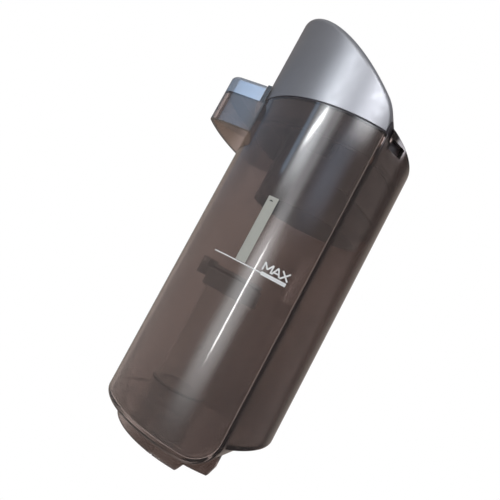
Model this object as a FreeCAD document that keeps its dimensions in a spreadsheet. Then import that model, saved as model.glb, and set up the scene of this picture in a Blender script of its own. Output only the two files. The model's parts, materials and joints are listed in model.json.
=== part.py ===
import FreeCAD, Part
import Sketcher
import math
import os

# Waste water tank of an upright floor washer, in millimetres.
# +Z up, front (finger grip) towards -Y. The sketches are drawn about the round lobe's axis; the
# finished pieces are moved along Y, so that the origin lies under the middle of the whole outline.
SIZES = [
    ("tank_radius", 55.0),
    ("tank_height", 179.0),
    ("wall", 2.2),
    ("main_back", 30.0),
    ("back_round", 15.0),
    ("edge_round", 2.4),
    ("inner_round", 1.2),
    ("rear_half_width", 41.0),
    ("rear_reach", 8.3),
    ("rear_lift", 12.5),
    ("rear_round", 0.7),
    ("rear_rise", 5.6),
    ("foot_height", 8.0),
    ("foot_radius", 44.5),
    ("foot_wall", 2.4),
    ("foot_step_height", 4.2),
    ("foot_step_place", 13.0),
    ("foot_end", 27.6),
    ("foot_end_left", 20.0),
    ("foot_bevel", 2.4),
    ("foot_groove_width", 0.8),
    ("foot_groove_depth", 1.0),
    ("grip_half_width", 34.5),
    ("grip_reach", 21.0),
    ("grip_bow", 132.0),
    ("grip_height", 18.0),
    ("grip_wall", 2.4),
    ("grip_round", 9.0),
    ("grip_drop", 1.0),
    ("cover_height", 10.4),
    ("cover_round", 2.4),
    ("cover_wall", 2.2),
    ("neck_reach", 2.6),
    ("cover_gap", 0.3),
    ("cap_gap", 0.5),
    ("port_offset", 22.0),
    ("port_radius", 12.0),
    ("port_seal_width", 2.6),
    ("port_seal_height", 3.4),
    ("port_rib", 1.8),
    ("pipe_radius", 15.0),
    ("pipe_wall", 1.6),
    ("pipe_top", 84.0),
    ("socket_height", 12.0),
    ("socket_wall", 2.0),
    ("slip_gap", 0.15),
    ("ring_section", 0.9),
    ("pipe_flange", 1.8),
    ("collar_height", 10.0),
    ("collar_wall", 2.4),
    ("flap_gap", 0.2),
    ("flap_thickness", 1.6),
    ("flap_seal_thickness", 1.2),
    ("pin_radius", 1.2),
    ("pin_gap", 0.05),
    ("pin_overhang", 1.0),
    ("knuckle_wall", 1.2),
    ("knuckle_half_width", 4.3),
    ("ear_gap", 0.25),
    ("ear_thickness", 2.0),
    ("lip_thickness", 0.9),
    ("lip_inset", 0.4),
    ("plate_thickness", 2.3),
    ("plate_gap", 0.2),
    ("plug_gap", 1.5),
    ("plug_wall", 2.0),
    ("plug_depth", 14.5),
    ("rear_skirt_depth", 34.0),
    ("rear_skirt_place", 20.0),
    ("gasket_gap", 0.3),
    ("gasket_height", 3.4),
    ("gasket_drop", 10.2),
    ("baffle_radius", 32.5),
    ("baffle_place", -1.5),
    ("baffle_wall", 1.8),
    ("baffle_depth", 47.5),
    ("baffle_window_width", 16.0),
    ("baffle_window_height", 12.0),
    ("float_place", 8.0),
    ("air_port_radius", 9.0),
    ("air_port_lip", 1.5),
    ("cage_radius", 15.0),
    ("cage_wall", 1.6),
    ("cage_depth", 33.0),
    ("cage_slot_width", 7.0),
    ("cage_ring", 4.0),
    ("cage_base_thickness", 2.0),
    ("cage_base_hole", 6.5),
    ("float_gap", 0.8),
    ("float_height", 17.0),
    ("float_seal_thickness", 1.6),
    ("float_rest_gap", 0.1),
    ("cap_front_height", 60.0),
    ("crest_radius", 220.0),
    ("cap_back_roll", 22.0),
    ("cap_roll_drop", 0.24),
    ("cap_side_round", 3.0),
    ("cap_wall", 2.0),
    ("screw_radius", 1.5),
    ("screw_head_radius", 3.0),
    ("screw_head_height", 1.6),
    ("screw_grip", 8.0),
    ("boss_radius", 3.6),
    ("boss_inset", 15.0),
    ("boss_front", 20.0),
    ("boss_rear", 14.0),
    ("filter_place", 8.0),
    ("filter_half_width", 25.0),
    ("filter_half_length", 20.0),
    ("filter_depth", 15.0),
    ("filter_sink", 2.0),
    ("filter_wall", 1.8),
    ("filter_slot", 4.0),
    ("sleeve_gap", 0.3),
    ("sleeve_wall", 1.6),
    ("ledge_width", 3.2),
    ("ledge_thickness", 1.6),
    ("filter_seal_height", 1.4),
    ("grille_thickness", 1.4),
    ("foam_thickness", 3.0),
    ("pleat_height", 8.0),
    ("pleat_pitch", 3.5),
    ("paper", 0.5),
    ("tab_height", 5.0),
    ("outlet_seal_width", 2.4),
    ("outlet_seal_height", 0.8),
    ("window_width", 15.5),
    ("window_height", 5.6),
    ("window_level", 0.7),
    ("window_slant", 2.4),
    ("window_place", 30.0),
    ("window_turn", 73.5),
    ("lug_gap", 0.45),
    ("lug_width", 9.0),
    ("deck_gap", 0.25),
    ("deck_wall", 1.0),
    ("deck_round", 0.4),
]
ROOM = 20.0
SIZE = dict(SIZES)

doc = FreeCAD.newDocument("water_tank")
sheet = doc.addObject("Spreadsheet::Sheet", "sizes")
for row, (alias, number) in enumerate(SIZES, start=1):
    sheet.set("A%d" % row, alias)
    sheet.set("B%d" % row, str(number))
    sheet.setAlias("B%d" % row, alias)
doc.recompute()

# Heights that several pieces share
RIM = "(sizes.foot_height + sizes.tank_height)"
PIPE_TOP = "(sizes.foot_height + sizes.pipe_top)"
LIP_TOP = "(sizes.foot_height + sizes.tank_height + sizes.lip_thickness)"
CAGE_FOOT = "(sizes.foot_height + sizes.tank_height - sizes.cage_depth)"


# A scratch point, used only to read what an expression comes to
probe = doc.addObject("Part::Vertex", "probe")


def value(expression):
    """Present number of an expression, for a sketch's first guess."""
    probe.setExpression("X", expression)
    probe.recompute()
    return float(probe.X)


def number(obj, property_path, expression):
    """Bind one property to the sheet."""
    obj.setExpression(property_path, expression)


def origin_plane(body, role):
    return next(item for item in body.Origin.OriginFeatures if item.Role == role)


def new_body(name):
    return doc.addObject("PartDesign::Body", name)


def new_sketch(body, name, role="XY_Plane", offset="0"):
    sketch = body.newObject("Sketcher::SketchObject", name)
    sketch.AttachmentSupport = [(origin_plane(body, role), "")]
    sketch.MapMode = "FlatFace"
    number(sketch, "AttachmentOffset.Base.z", offset)
    return sketch


def place_along(sketch, kind, curve, end, expression):
    """Hold one point of a curve at a signed distance from the sketch's origin."""
    constraint = Sketcher.Constraint(kind, -1, 1, curve, end, value(expression))
    index = sketch.addConstraint(constraint)
    number(sketch, "Constraints[%d]" % index, expression)


def place_point(sketch, curve, end, x, y):
    if x == "0":
        sketch.addConstraint(Sketcher.Constraint("PointOnObject", curve, end, -2))
    else:
        place_along(sketch, "DistanceX", curve, end, x)
    if y == "0":
        sketch.addConstraint(Sketcher.Constraint("PointOnObject", curve, end, -1))
    else:
        place_along(sketch, "DistanceY", curve, end, y)


def set_radius(sketch, curve, expression):
    index = sketch.addConstraint(Sketcher.Constraint("Radius", curve, value(expression)))
    number(sketch, "Constraints[%d]" % index, expression)


def polygon(sketch, corners):
    """Closed outline of straight runs; each corner is a pair of expressions."""
    first = sketch.GeometryCount
    count = len(corners)
    around = [FreeCAD.Vector(value(x), value(y), 0) for x, y in corners]
    for k in range(count):
        sketch.addGeometry(Part.LineSegment(around[k], around[(k + 1) % count]), False)
    for k in range(count):
        follower = first + (k + 1) % count
        sketch.addConstraint(Sketcher.Constraint("Coincident", first + k, 2, follower, 1))
    for k, (x, y) in enumerate(corners):
        place_point(sketch, first + k, 1, x, y)


def rectangle(sketch, left, right, low, high):
    polygon(sketch, [(left, low), (right, low), (right, high), (left, high)])


def circle(sketch, radius, x="0", y="0"):
    centre = FreeCAD.Vector(value(x), value(y), 0)
    curve = sketch.addGeometry(Part.Circle(centre, FreeCAD.Vector(0, 0, 1), value(radius)), False)
    if x == "0" and y == "0":
        sketch.addConstraint(Sketcher.Constraint("Coincident", curve, 3, -1, 1))
    else:
        place_point(sketch, curve, 3, x, y)
    set_radius(sketch, curve, radius)


def pad(body, sketch, length):
    feature = body.newObject("PartDesign::Pad", sketch.Name + "_pad")
    feature.Profile = sketch
    number(feature, "Length", length)
    return feature


def pocket(body, sketch, length, upward=False):
    feature = body.newObject("PartDesign::Pocket", sketch.Name + "_pocket")
    feature.Profile = sketch
    feature.Reversed = upward
    number(feature, "Length", length)
    return feature


def through_pocket(body, sketch):
    feature = body.newObject("PartDesign::Pocket", sketch.Name + "_pocket")
    feature.Profile = sketch
    feature.Type = "ThroughAll"
    feature.SideType = "Symmetric"
    return feature


def revolve(body, sketch):
    feature = body.newObject("PartDesign::Revolution", sketch.Name + "_turn")
    feature.Profile = sketch
    feature.ReferenceAxis = (sketch, ["V_Axis"])
    feature.Angle = 360
    return feature


def around_axis(body, feature, count):
    """Repeat a feature evenly about the body's upright axis."""
    pattern = body.newObject("PartDesign::PolarPattern", feature.Name + "_ring")
    pattern.Originals = [feature]
    pattern.Axis = (feature.Profile[0], ["N_Axis"])
    pattern.Angle = 360
    pattern.Occurrences = count
    body.Tip = pattern
    return pattern


def along_y(body, feature, length, count):
    """Repeat a feature evenly along the sketch's upright direction."""
    pattern = body.newObject("PartDesign::LinearPattern", feature.Name + "_row")
    pattern.Originals = [feature]
    pattern.Direction = (feature.Profile[0], ["V_Axis"])
    number(pattern, "Length", length)
    pattern.Occurrences = count
    body.Tip = pattern
    return pattern


def matching_edges(feature, test):
    doc.recompute()
    return ["Edge%d" % (k + 1) for k, edge in enumerate(feature.Shape.Edges) if test(edge)]


def round_edges(body, feature, test, radius):
    """Round those edges of a feature that pass a test."""
    names = matching_edges(feature, test)
    fillet = body.newObject("PartDesign::Fillet", feature.Name + "_round")
    fillet.Base = (feature, names)
    number(fillet, "Radius", radius)
    return fillet


def upright(edge):
    box = edge.BoundBox
    return box.XLength < 0.01 and box.YLength < 0.01 and box.ZLength > 0.5


def solid_box(name, width, length, height, x, y, z):
    """Box with its corner at x, y, z."""
    box = doc.addObject("Part::Box", name)
    number(box, "Length", width)
    number(box, "Width", length)
    number(box, "Height", height)
    number(box, "Placement.Base.x", x)
    number(box, "Placement.Base.y", y)
    number(box, "Placement.Base.z", z)
    return box


def solid_cylinder(name, radius, height, x, y, z):
    cylinder = doc.addObject("Part::Cylinder", name)
    number(cylinder, "Radius", radius)
    number(cylinder, "Height", height)
    number(cylinder, "Placement.Base.x", x)
    number(cylinder, "Placement.Base.y", y)
    number(cylinder, "Placement.Base.z", z)
    return cylinder


def fuse(name, pieces):
    joined = doc.addObject("Part::MultiFuse", name)
    joined.Shapes = pieces
    joined.Refine = True
    return joined


def cut(name, base, tool):
    result = doc.addObject("Part::Cut", name)
    result.Base = base
    result.Tool = tool
    result.Refine = True
    return result


def common(name, base, tool):
    result = doc.addObject("Part::Common", name)
    result.Base = base
    result.Tool = tool
    result.Refine = True
    return result


def place(piece, x, y, z):
    number(piece, "Placement.Base.x", x)
    number(piece, "Placement.Base.y", y)
    number(piece, "Placement.Base.z", z)


# Plan of the tank: a round front lobe cut off straight at the back, and a shallow rear bulge
def lobe_sketch(body, name, inset, height):
    sketch = new_sketch(body, name, offset=height)
    radius = value("sizes.tank_radius - (%s)" % inset)
    back = value("sizes.main_back - (%s)" % inset)
    turn = math.asin(back / radius)
    round_front = Part.Circle(FreeCAD.Vector(0, 0, 0), FreeCAD.Vector(0, 0, 1), radius)
    sketch.addGeometry(Part.ArcOfCircle(round_front, math.pi - turn, 2 * math.pi + turn), False)
    right = FreeCAD.Vector(radius * math.cos(turn), back, 0)
    left = FreeCAD.Vector(-radius * math.cos(turn), back, 0)
    sketch.addGeometry(Part.LineSegment(right, left), False)
    sketch.addConstraint(Sketcher.Constraint("Coincident", 0, 3, -1, 1))
    sketch.addConstraint(Sketcher.Constraint("Coincident", 0, 2, 1, 1))
    sketch.addConstraint(Sketcher.Constraint("Coincident", 1, 2, 0, 1))
    sketch.addConstraint(Sketcher.Constraint("Horizontal", 1))
    set_radius(sketch, 0, "sizes.tank_radius - (%s)" % inset)
    place_along(sketch, "DistanceY", 1, 1, "sizes.main_back - (%s)" % inset)
    return sketch


def bulge_sketch(body, name, inset, height):
    sketch = new_sketch(body, name, offset=height)
    half_width = "sizes.rear_half_width - (%s)" % inset
    back_line = "sizes.main_back - (%s)" % inset
    bow_radius = "((%s) ^ 2 + sizes.rear_reach ^ 2) / (2 * sizes.rear_reach)" % half_width
    half = value(half_width)
    back = value(back_line)
    reach = SIZE["rear_reach"]
    radius = value(bow_radius)
    centre = FreeCAD.Vector(0, back + reach - radius, 0)
    turn = math.atan2(back - centre.y, half)
    bow = Part.Circle(centre, FreeCAD.Vector(0, 0, 1), radius)
    sketch.addGeometry(Part.ArcOfCircle(bow, turn, math.pi - turn), False)
    right_back = FreeCAD.Vector(half, back, 0)
    left_back = FreeCAD.Vector(-half, back, 0)
    right_inside = FreeCAD.Vector(half, 0, 0)
    left_inside = FreeCAD.Vector(-half, 0, 0)
    sketch.addGeometry(Part.LineSegment(left_back, left_inside), False)
    sketch.addGeometry(Part.LineSegment(left_inside, right_inside), False)
    sketch.addGeometry(Part.LineSegment(right_inside, right_back), False)
    sketch.addConstraint(Sketcher.Constraint("Coincident", 0, 2, 1, 1))
    sketch.addConstraint(Sketcher.Constraint("Coincident", 1, 2, 2, 1))
    sketch.addConstraint(Sketcher.Constraint("Coincident", 2, 2, 3, 1))
    sketch.addConstraint(Sketcher.Constraint("Coincident", 3, 2, 0, 1))
    place_point(sketch, 0, 1, half_width, back_line)
    place_point(sketch, 0, 2, "-(%s)" % half_width, back_line)
    place_point(sketch, 1, 2, "-(%s)" % half_width, "0")
    place_point(sketch, 2, 2, half_width, "0")
    set_radius(sketch, 0, bow_radius)
    return sketch


def ramp_sketch(body, name, floor_level):
    """Side view of what is cut away under the rounded lower back."""
    sketch = new_sketch(body, name, "YZ_Plane")
    centre_y = "sizes.main_back - sizes.back_round"
    centre_z = "sizes.foot_height + sizes.back_round"
    far_y = "sizes.main_back + %g" % ROOM
    far_z = "sizes.foot_height - %g" % ROOM
    centre = FreeCAD.Vector(value(centre_y), value(centre_z), 0)
    radius = value("%s - (%s)" % (centre_z, floor_level))
    bend = Part.Circle(centre, FreeCAD.Vector(0, 0, 1), radius)
    sketch.addGeometry(Part.ArcOfCircle(bend, 1.5 * math.pi, 2 * math.pi), False)
    corners = [FreeCAD.Vector(centre.x + radius, centre.y, 0),
               FreeCAD.Vector(value(far_y), centre.y, 0),
               FreeCAD.Vector(value(far_y), value(far_z), 0),
               FreeCAD.Vector(centre.x, value(far_z), 0),
               FreeCAD.Vector(centre.x, centre.y - radius, 0)]
    for k in range(4):
        sketch.addGeometry(Part.LineSegment(corners[k], corners[k + 1]), False)
    sketch.addConstraint(Sketcher.Constraint("Coincident", 0, 2, 1, 1))
    for k in range(1, 4):
        sketch.addConstraint(Sketcher.Constraint("Coincident", k, 2, k + 1, 1))
    sketch.addConstraint(Sketcher.Constraint("Coincident", 4, 2, 0, 1))
    sketch.addConstraint(Sketcher.Constraint("Horizontal", 1))
    place_point(sketch, 0, 3, centre_y, centre_z)
    place_point(sketch, 0, 1, centre_y, floor_level)
    place_point(sketch, 1, 2, far_y, centre_z)
    place_point(sketch, 2, 2, far_y, far_z)
    place_point(sketch, 3, 2, centre_y, far_z)
    return sketch


def on_lobe_rim(edge, low, inset):
    """True for the lower outer edges of the round lobe and for its two upright back corners."""
    box = edge.BoundBox
    if upright(edge):
        return box.ZLength > SIZE["back_round"]
    wide = max(abs(box.XMin), abs(box.XMax))
    outside = math.hypot(wide, max(box.YMax, 0)) > SIZE["tank_radius"] - inset - 1
    flat = box.ZLength < 0.01
    if flat:
        return abs(box.ZMin - low) < 0.01 and box.YLength > SIZE["tank_radius"] - inset
    return outside and box.XLength < SIZE["back_round"]


def vessel(name, inset, inset_number, extra_top):
    """The tank's closed outer form, or with an inset its inner one."""
    body = new_body(name + "_front")
    floor_level = "sizes.foot_height + (%s)" % inset
    top = "sizes.tank_height - (%s) + (%s)" % (inset, extra_top)
    lobe = pad(body, lobe_sketch(body, name + "_lobe", inset, floor_level), top)
    ramp = ramp_sketch(body, name + "_ramp", floor_level)
    ramped = through_pocket(body, ramp)
    base = SIZE["foot_height"]
    low = base + inset_number
    rounding = "sizes.edge_round" if inset_number == 0 else "sizes.inner_round"
    round_edges(body, ramped, lambda edge: on_lobe_rim(edge, low, inset_number), rounding)
    rear_level = "sizes.foot_height + sizes.rear_lift + (%s)" % inset
    rear_top = "sizes.tank_height + sizes.rear_rise - sizes.rear_lift - (%s) + (%s)" % (inset, extra_top)
    rear = new_body(name + "_rear")
    bulge = pad(rear, bulge_sketch(rear, name + "_bulge", inset, rear_level), rear_top)
    rear_low = base + SIZE["rear_lift"] + inset_number
    behind = SIZE["main_back"] - inset_number

    def on_bulge_floor(edge):
        box = edge.BoundBox
        level = abs(box.ZMin - rear_low) < 0.01 and box.ZLength < 0.01
        return level and box.YMax > behind + 1 and box.XLength > SIZE["rear_half_width"]

    if inset_number == 0:
        round_edges(rear, bulge, on_bulge_floor, "sizes.rear_round")
    return fuse(name, [body, rear])


def outline_plate(name, inset, low, thickness):
    """Flat plate with the tank's own plan, drawn in by an inset."""
    body = new_body(name)
    lobe = pad(body, lobe_sketch(body, name + "_lobe", inset, low), thickness)
    corners = round_edges(body, lobe, upright, "sizes.edge_round * 0.75")
    pad(body, bulge_sketch(body, name + "_bulge", inset, low), thickness)
    return body


def grip_block(name, inset, low, height):
    """Block that stands proud of the front of the tank; its front is bowed."""
    body = new_body(name)
    sketch = new_sketch(body, name + "_plan", offset=low)
    half_width = "sizes.grip_half_width - (%s)" % inset
    centre_y = "sizes.grip_bow - sizes.tank_radius - sizes.grip_reach"
    bow_radius = "sizes.grip_bow - (%s)" % inset
    back = "-sizes.tank_radius * 0.5"
    half = value(half_width)
    radius = value(bow_radius)
    centre = FreeCAD.Vector(0, value(centre_y), 0)
    depth = math.sqrt(radius ** 2 - half ** 2)
    turn = math.atan2(depth, half)
    bow = Part.Circle(centre, FreeCAD.Vector(0, 0, 1), radius)
    sketch.addGeometry(Part.ArcOfCircle(bow, math.pi + turn, 2 * math.pi - turn), False)
    around = [FreeCAD.Vector(half, centre.y - depth, 0), FreeCAD.Vector(half, value(back), 0),
              FreeCAD.Vector(-half, value(back), 0), FreeCAD.Vector(-half, centre.y - depth, 0)]
    for k in range(3):
        sketch.addGeometry(Part.LineSegment(around[k], around[k + 1]), False)
        sketch.addConstraint(Sketcher.Constraint("Coincident", k, 2, k + 1, 1))
    sketch.addConstraint(Sketcher.Constraint("Coincident", 3, 2, 0, 1))
    place_point(sketch, 0, 3, "0", centre_y)
    set_radius(sketch, 0, bow_radius)
    place_along(sketch, "DistanceX", 0, 1, "-(%s)" % half_width)
    place_along(sketch, "DistanceX", 0, 2, half_width)
    place_point(sketch, 1, 2, half_width, back)
    place_point(sketch, 2, 2, "-(%s)" % half_width, back)
    block = pad(body, sketch, height)
    return body, block


def front_corner(edge):
    return upright(edge) and edge.BoundBox.YMax < -SIZE["tank_radius"]


def foot_ring():
    """Skirt under the floor: a C open at the back, lower behind its step."""
    body = new_body("foot_ring")
    ring = new_sketch(body, "foot_plan")
    circle(ring, "sizes.foot_radius")
    circle(ring, "sizes.foot_radius - sizes.foot_wall")
    pad(body, ring, "sizes.foot_height + sizes.back_round * 0.9")
    far = "sizes.foot_radius + %g" % ROOM
    step = "sizes.foot_step_height"
    relief = new_sketch(body, "foot_relief", "YZ_Plane")
    polygon(relief, [("sizes.foot_step_place - sizes.foot_bevel * 0.1", "-1"),
                     ("sizes.foot_step_place + sizes.foot_bevel", step),
                     ("sizes.foot_end - sizes.foot_bevel * 0.6", step),
                     ("sizes.foot_end", step + " + 2 * sizes.foot_bevel"),
                     ("sizes.foot_end", "sizes.foot_height + 2 * sizes.back_round"),
                     (far, "sizes.foot_height + 2 * sizes.back_round"), (far, "-1")])
    through_pocket(body, relief)
    shorter = new_sketch(body, "foot_left_end")
    rectangle(shorter, "-(%s)" % far, "0", "sizes.foot_end_left", far)
    pocket(body, shorter, "sizes.foot_height + 2 * sizes.back_round", upward=True)
    groove = new_sketch(body, "foot_groove")
    half_groove = "sizes.foot_groove_width / 2"
    rectangle(groove, "sizes.foot_radius - sizes.foot_groove_depth", far, "-" + half_groove, half_groove)
    cut_groove = pocket(body, groove, "sizes.foot_height - 1.5", upward=True)
    around_axis(body, cut_groove, 2)
    return body


BOW_RADIUS = "((sizes.rear_half_width ^ 2 + sizes.rear_reach ^ 2) / (2 * sizes.rear_reach))"
BOW_RISE = "sqrt(%s ^ 2 - sizes.window_place ^ 2)" % BOW_RADIUS
WINDOW_Y = "(sizes.main_back + sizes.rear_reach - %s + %s)" % (BOW_RADIUS, BOW_RISE)


def corner_block(name, side, width, start, length, height, slant):
    """Slanted block square to the bulge's skin; it starts so far inwards of the skin."""
    body = new_body(name)
    sketch = new_sketch(body, name + "_face", "YZ_Plane")
    half = "(%s) / 2" % width
    lean = "(%s) / 2" % slant if side > 0 else "-(%s) / 2" % slant
    low = "%s + sizes.window_level - (%s) / 2" % (RIM, height)
    high = "%s + sizes.window_level + (%s) / 2" % (RIM, height)
    polygon(sketch, [("-" + half, "%s - (%s)" % (low, lean)), (half, "%s + (%s)" % (low, lean)),
                     (half, "%s + (%s)" % (high, lean)), ("-" + half, "%s - (%s)" % (high, lean))])
    pad(body, sketch, length)
    turn = "(%s)" % ("sizes.window_turn" if side > 0 else "180 - sizes.window_turn")
    middle = "%ssizes.window_place" % ("" if side > 0 else "-")
    number(body, "Placement.Rotation.Angle", turn)
    number(body, "Placement.Base.x", "%s - (%s) * cos(%s)" % (middle, start, turn))
    number(body, "Placement.Base.y", "%s - (%s) * sin(%s)" % (WINDOW_Y, start, turn))
    return body


def window_tools():
    """Two slanted through windows in the raised rear rim, at its corners."""
    return [corner_block("window_right", 1, "sizes.window_width", "sizes.wall + 2",
                         "%g" % ROOM, "sizes.window_height", "sizes.window_slant"),
            corner_block("window_left", -1, "sizes.window_width", "sizes.wall + 2",
                         "%g" % ROOM, "sizes.window_height", "sizes.window_slant")]


COVER_LOW = "(%s - sizes.grip_drop)" % RIM


def grip_neck():
    """Raised collar in front of the cap, that the grip's cover butts against."""
    collar, block = grip_block("neck_collar", "0", COVER_LOW, "sizes.cover_height")
    outside = solid_cylinder("neck_outside", "sizes.tank_radius + sizes.neck_reach",
                             "sizes.cover_height", "0", "0", COVER_LOW)
    bore = solid_cylinder("neck_bore", "sizes.tank_radius - sizes.wall / 2",
                          "sizes.cover_height + 2", "0", "0", COVER_LOW + " - 1")
    return cut("grip_neck", common("neck_block", collar, outside), bore)


def make_tank_body():
    outer = vessel("outer_form", "0", 0.0, "0")
    inner = vessel("inner_form", "sizes.wall", SIZE["wall"], "%g" % ROOM)
    grip_low = "%s - sizes.grip_drop - sizes.grip_height" % RIM
    grip, block = grip_block("grip_outside", "0", grip_low, "sizes.grip_height")
    round_edges(grip, block, front_corner, "sizes.grip_round")
    hollow, block = grip_block("grip_hollow", "sizes.grip_wall", "%s - 1" % grip_low, "sizes.grip_height + 2")
    round_edges(hollow, block, front_corner, "sizes.grip_round - sizes.grip_wall")
    grip_shell = cut("grip_shell", grip, hollow)
    socket = solid_cylinder("socket_outside", "sizes.pipe_radius + sizes.slip_gap + sizes.socket_wall",
                            "sizes.socket_height + sizes.wall",
                            "0", "-sizes.port_offset", "sizes.foot_height")
    socket_bore = solid_cylinder("socket_bore", "sizes.pipe_radius + sizes.slip_gap",
                                 "sizes.socket_height + 1",
                                 "0", "-sizes.port_offset", "sizes.foot_height + sizes.wall")
    port = solid_cylinder("port", "sizes.port_radius", "sizes.wall + %g" % ROOM,
                          "0", "-sizes.port_offset", "sizes.foot_height - %g" % (ROOM / 2))
    rib_radius = "sizes.port_radius + sizes.port_seal_width + sizes.port_rib + sizes.slip_gap"
    rib = solid_cylinder("port_rib_outside", rib_radius, "sizes.port_seal_height * 0.7",
                         "0", "-sizes.port_offset", "sizes.foot_height - sizes.port_seal_height * 0.7")
    rib_bore = solid_cylinder("port_rib_bore", "sizes.port_radius + sizes.port_seal_width + sizes.slip_gap",
                              "sizes.port_seal_height * 0.7",
                              "0", "-sizes.port_offset",
                              "sizes.foot_height - sizes.port_seal_height * 0.7")
    outside = fuse("tank_outside", [outer, grip_shell, grip_neck(), foot_ring(), rib])
    hollowed = cut("tank_hollowed", outside, fuse("tank_hollows", [inner, rib_bore]))
    with_socket = fuse("tank_with_socket", [hollowed, socket])
    cap_room = solid_box("tank_cap_room", "4 * sizes.tank_radius",
                         "sizes.tank_radius / 2 + sizes.main_back + sizes.cap_gap",
                         "%g" % (2 * ROOM), "-2 * sizes.tank_radius", "-sizes.tank_radius / 2", RIM)
    cap_bore = solid_cylinder("tank_cap_bore", "sizes.tank_radius + sizes.cap_gap", "%g" % (2 * ROOM),
                              "0", "0", RIM)
    cap_space = common("tank_cap_space", cap_bore, solid_box(
        "tank_cap_front", "4 * sizes.tank_radius", "2 * sizes.tank_radius", "%g" % (3 * ROOM),
        "-2 * sizes.tank_radius", "-2 * sizes.tank_radius", "%s - 1" % RIM))
    openings = fuse("tank_openings", [socket_bore, port, cap_room, cap_space] + window_tools())
    return cut("tank_body", with_socket, openings)


def make_handle_cover():
    """Cover over the grip's cup, soft along its upper edge."""
    low = COVER_LOW
    body, block = grip_block("cover_outside", "0", low, "sizes.cover_height")
    rounded = round_edges(body, block, front_corner, "sizes.grip_round")
    doc.recompute()
    top = SIZE["foot_height"] + SIZE["tank_height"] - SIZE["grip_drop"] + SIZE["cover_height"]
    round_edges(body, rounded, lambda edge: edge.BoundBox.ZMin > top - 0.01
                and edge.BoundBox.YMin < -SIZE["tank_radius"], "sizes.cover_round")
    hollow, block = grip_block("cover_hollow", "sizes.cover_wall", "%s - 1" % low,
                               "sizes.cover_height - sizes.cover_wall + 1")
    round_edges(hollow, block, front_corner, "sizes.grip_round - sizes.cover_wall")
    shell = cut("cover_shell", body, hollow)
    room = solid_cylinder("cover_room", "sizes.tank_radius + sizes.neck_reach + sizes.cover_gap",
                          "sizes.cover_height + %g" % ROOM, "0", "0", "%s - %g" % (RIM, ROOM / 2))
    return cut("handle_cover", shell, room)


def make_standpipe():
    """Upright suction pipe with a foot flange that presses its ring, and a ledge for the mouth."""
    body = new_body("standpipe")
    profile = new_sketch(body, "standpipe_profile", "XZ_Plane")
    outer = "sizes.pipe_radius"
    inner = "sizes.pipe_radius - sizes.pipe_wall"
    low = "sizes.foot_height + sizes.wall"
    flange_low = "sizes.foot_height + sizes.wall + sizes.socket_height + 2 * sizes.ring_section"
    flange_high = flange_low + " + sizes.pipe_flange"
    flange_out = "sizes.pipe_radius + sizes.slip_gap + sizes.socket_wall"
    ledge_high = PIPE_TOP + " - sizes.collar_height"
    ledge_low = ledge_high + " - 1.2"
    ledge_out = "sizes.pipe_radius + sizes.collar_wall"
    polygon(profile, [(inner, low), (outer, low), (outer, flange_low), (flange_out, flange_low),
                      (flange_out, flange_high), (outer, flange_high), (outer, ledge_low),
                      (ledge_out, ledge_low), (ledge_out, ledge_high), (outer, ledge_high),
                      (outer, PIPE_TOP), (inner, PIPE_TOP)])
    revolve(body, profile)
    place(body, "0", "-sizes.port_offset", "0")
    return body


def make_standpipe_seal():
    ring = doc.addObject("Part::Torus", "standpipe_seal")
    number(ring, "Radius1", "sizes.pipe_radius + sizes.slip_gap + sizes.ring_section")
    number(ring, "Radius2", "sizes.ring_section")
    place(ring, "0", "-sizes.port_offset",
          "sizes.foot_height + sizes.wall + sizes.socket_height + sizes.ring_section")
    return ring


def make_inlet_seal():
    """Soft ring under the floor; its lower lip narrows towards the port."""
    body = new_body("inlet_seal")
    profile = new_sketch(body, "inlet_seal_profile", "XZ_Plane")
    inner = "sizes.port_radius"
    outer = "sizes.port_radius + sizes.port_seal_width"
    low = "sizes.foot_height - sizes.port_seal_height"
    polygon(profile, [(inner, low + " + 1"), (inner + " + 0.8", low), (outer + " - 0.6", low),
                      (outer, low + " + 0.8"), (outer, "sizes.foot_height"), (inner, "sizes.foot_height")])
    revolve(body, profile)
    place(body, "0", "-sizes.port_offset", "0")
    return body


HINGE_OUT = "(sizes.pipe_radius + sizes.collar_wall + sizes.pin_radius + sizes.knuckle_wall + 0.9)"
HINGE_HIGH = "(%s + sizes.flap_gap + sizes.flap_seal_thickness + sizes.flap_thickness / 2)" % PIPE_TOP


def cross_cylinder(name, radius, half_length, y, z):
    """Cylinder along X, centred on the middle plane."""
    cylinder = doc.addObject("Part::Cylinder", name)
    number(cylinder, "Radius", radius)
    number(cylinder, "Height", "2 * (%s)" % half_length)
    cylinder.Placement = FreeCAD.Placement(FreeCAD.Vector(), FreeCAD.Rotation(FreeCAD.Vector(0, 1, 0), 90))
    number(cylinder, "Placement.Base.x", "-(%s)" % half_length)
    number(cylinder, "Placement.Base.y", y)
    number(cylinder, "Placement.Base.z", z)
    return cylinder


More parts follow.
